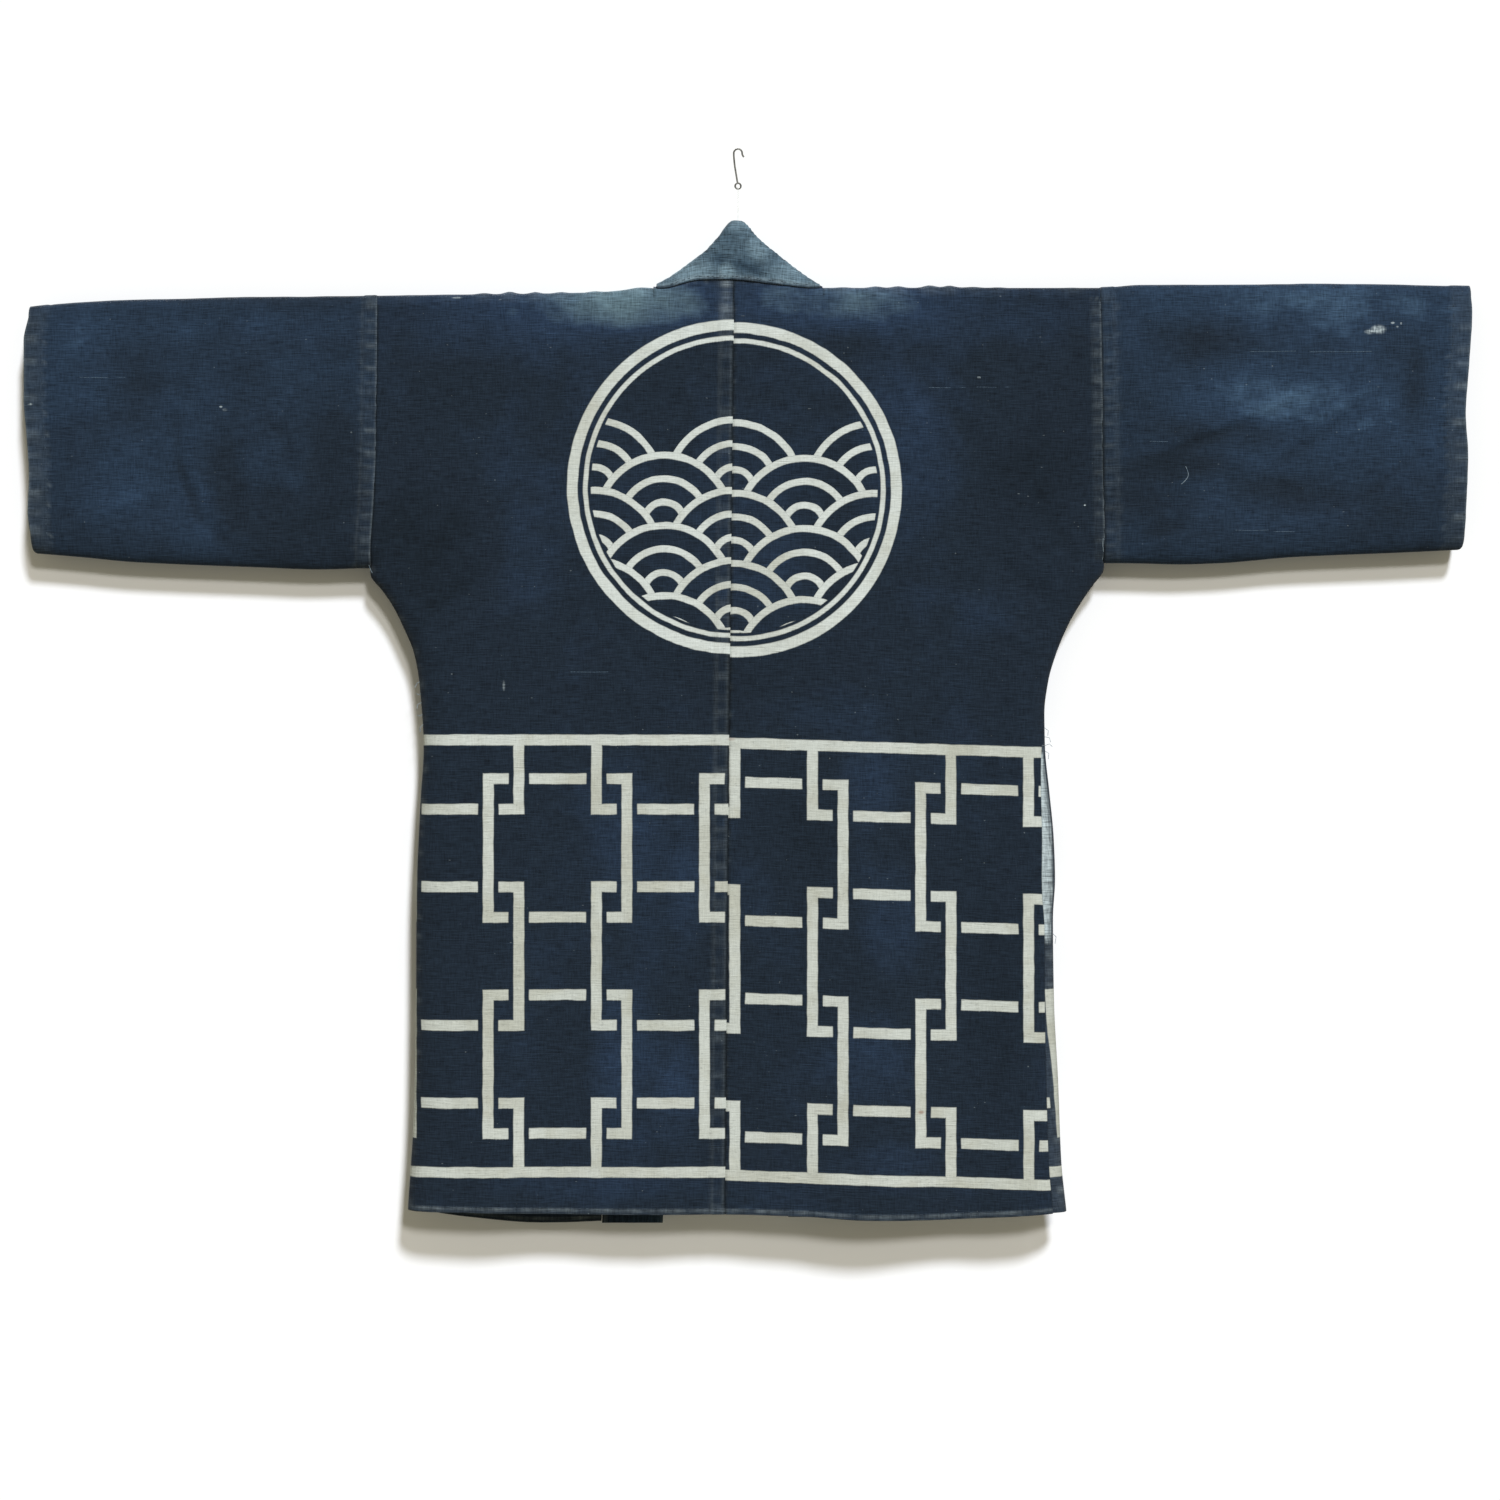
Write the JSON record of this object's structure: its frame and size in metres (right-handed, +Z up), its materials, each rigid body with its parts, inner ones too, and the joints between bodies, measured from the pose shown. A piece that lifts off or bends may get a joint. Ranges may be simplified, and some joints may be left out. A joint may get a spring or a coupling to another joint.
{
  "type": "hanten coat on a hanging rod",
  "caption": "Short indigo cotton work coat with straight sleeves, spread flat on a rod and hung from a wire hook.",
  "frame": {"origin": "the point inside the hook's bend that bears on the nail", "axes": "+Z up; +X to the right of somebody looking at the coat's back, along the sleeves; the back faces -Y, towards the camera; the fronts and the wall are on +Y"},
  "size_m": [1.2984, 0.0418, 0.9691],
  "materials": {
    "indigo_body": "matt woven indigo cotton with off-white resist pattern",
    "indigo_sleeve": "matt woven indigo cotton, a little faded",
    "indigo_collar": "matt woven indigo cotton, faded and worn",
    "bamboo": "plain satin bamboo",
    "wire": "dull galvanised wire",
    "clear_line": "clear nylon line"
  },
  "bodies": {
    "root": {"body_left": "indigo_body", "body_right": "indigo_body", "sleeve_left": "indigo_sleeve", "sleeve_right": "indigo_sleeve", "collar": "indigo_collar", "rod": "bamboo", "screw_eye": "wire", "hanging_line": "clear_line", "hook": "wire"}
  },
  "joints": []
}
